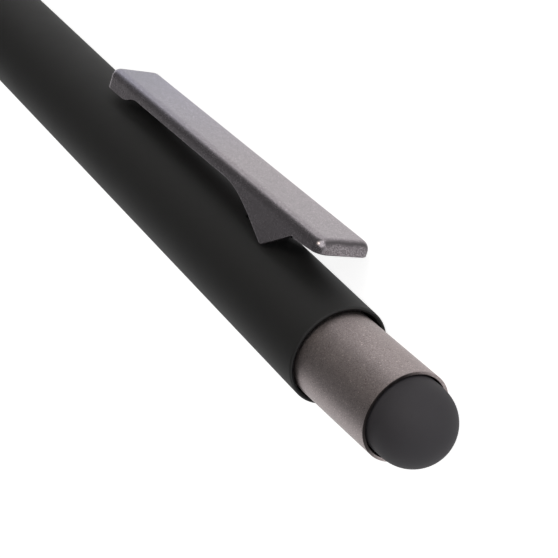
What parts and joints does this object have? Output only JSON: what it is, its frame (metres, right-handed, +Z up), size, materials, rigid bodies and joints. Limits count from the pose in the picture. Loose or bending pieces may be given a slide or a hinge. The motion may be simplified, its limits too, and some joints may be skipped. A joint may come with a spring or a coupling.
{
  "type": "stylus ballpoint pen",
  "caption": "Slim push-button ballpoint pen with a coated barrel, a pressed metal clip, a screwed metal nose and a soft rubber stylus dome on its button.",
  "frame": {"origin": "the middle of the pen's footprint, on the surface that it lies on", "axes": "+X runs along the pen towards the stylus end, +Y is the side that the clip leans to, +Z is up with the pen lying on its barrel and the clip's corner"},
  "size_m": [0.14, 0.0146, 0.01],
  "materials": {
    "soft_touch_black": "matte soft-touch coating over a metal tube",
    "gunmetal": "fine blasted gunmetal plating",
    "stylus_rubber": "matte conductive rubber",
    "white_plastic": "moulded acetal",
    "dark_plastic": "moulded black plastic",
    "brass": "turned brass",
    "steel": "bright steel",
    "ink": "ballpoint ink",
    "follower_grease": "clear follower grease"
  },
  "bodies": {
    "barrel": {"barrel": "soft_touch_black", "thread_bush": "brass", "cam_housing": "dark_plastic", "housing_collar": "brass", "clip_lock": "dark_plastic"},
    "clip": {"clip": "gunmetal", "clip_bracket": "steel"},
    "button": {"button_sleeve": "gunmetal", "stylus_tip": "stylus_rubber", "stylus_core": "dark_plastic", "thrust_tube": "white_plastic"},
    "refill": {"refill_tube": "steel", "refill_point": "brass", "ink_column": "ink", "ink_follower": "follower_grease", "refill_plug": "white_plastic"},
    "rotor": {"rotor": "white_plastic"},
    "ball": {"writing_ball": "steel"},
    "spring": {"return_spring": "steel"},
    "nose": {"nose_cone": "gunmetal"}
  },
  "joints": [
    {"name": "button_push", "type": "slide", "parent": "barrel", "child": "button", "axis": [-1, 0, 0], "range_m": [0, 0.006], "stiffness_N_per_m": 400, "deforming": ["return_spring"]},
    {"name": "refill_advance", "type": "slide", "parent": "barrel", "child": "refill", "axis": [-1, 0, 0], "range_m": [0, 0.006]},
    {"name": "rotor_turn", "type": "hinge", "parent": "refill", "child": "rotor", "pos_m": [0.018, -0.00227, 0.005], "axis": [1, 0, 0], "range_deg": [0, 22.5]},
    {"name": "ball_roll", "type": "hinge", "parent": "refill", "child": "ball", "pos_m": [-0.068, -0.00227, 0.005], "axis": [0, 1, 0], "continuous": true},
    {"name": "clip_flex", "type": "hinge", "parent": "barrel", "child": "clip", "pos_m": [0.04155, 0.0021, 0.00389], "axis": [0, -0.2469, -0.969], "range_deg": [0, 5], "stiffness_Nm_per_rad": 3},
    {"name": "nose_advance", "type": "slide", "parent": "barrel", "child": "spring", "axis": [-1, 0, 0], "range_m": [0, 0.0081]},
    {"name": "nose_turn", "type": "hinge", "parent": "spring", "child": "nose", "pos_m": [-0.06, -0.00227, 0.005], "axis": [-1, 0, 0], "range_deg": [0, 3888]}
  ],
  "couplings": [
    {"joint": "refill_advance", "follows": "button_push", "ratio": 1},
    {"joint": "rotor_turn", "follows": "button_push", "rad_per_m": 65.449},
    {"joint": "nose_turn", "follows": "nose_advance", "rad_per_m": 8377.6}
  ]
}
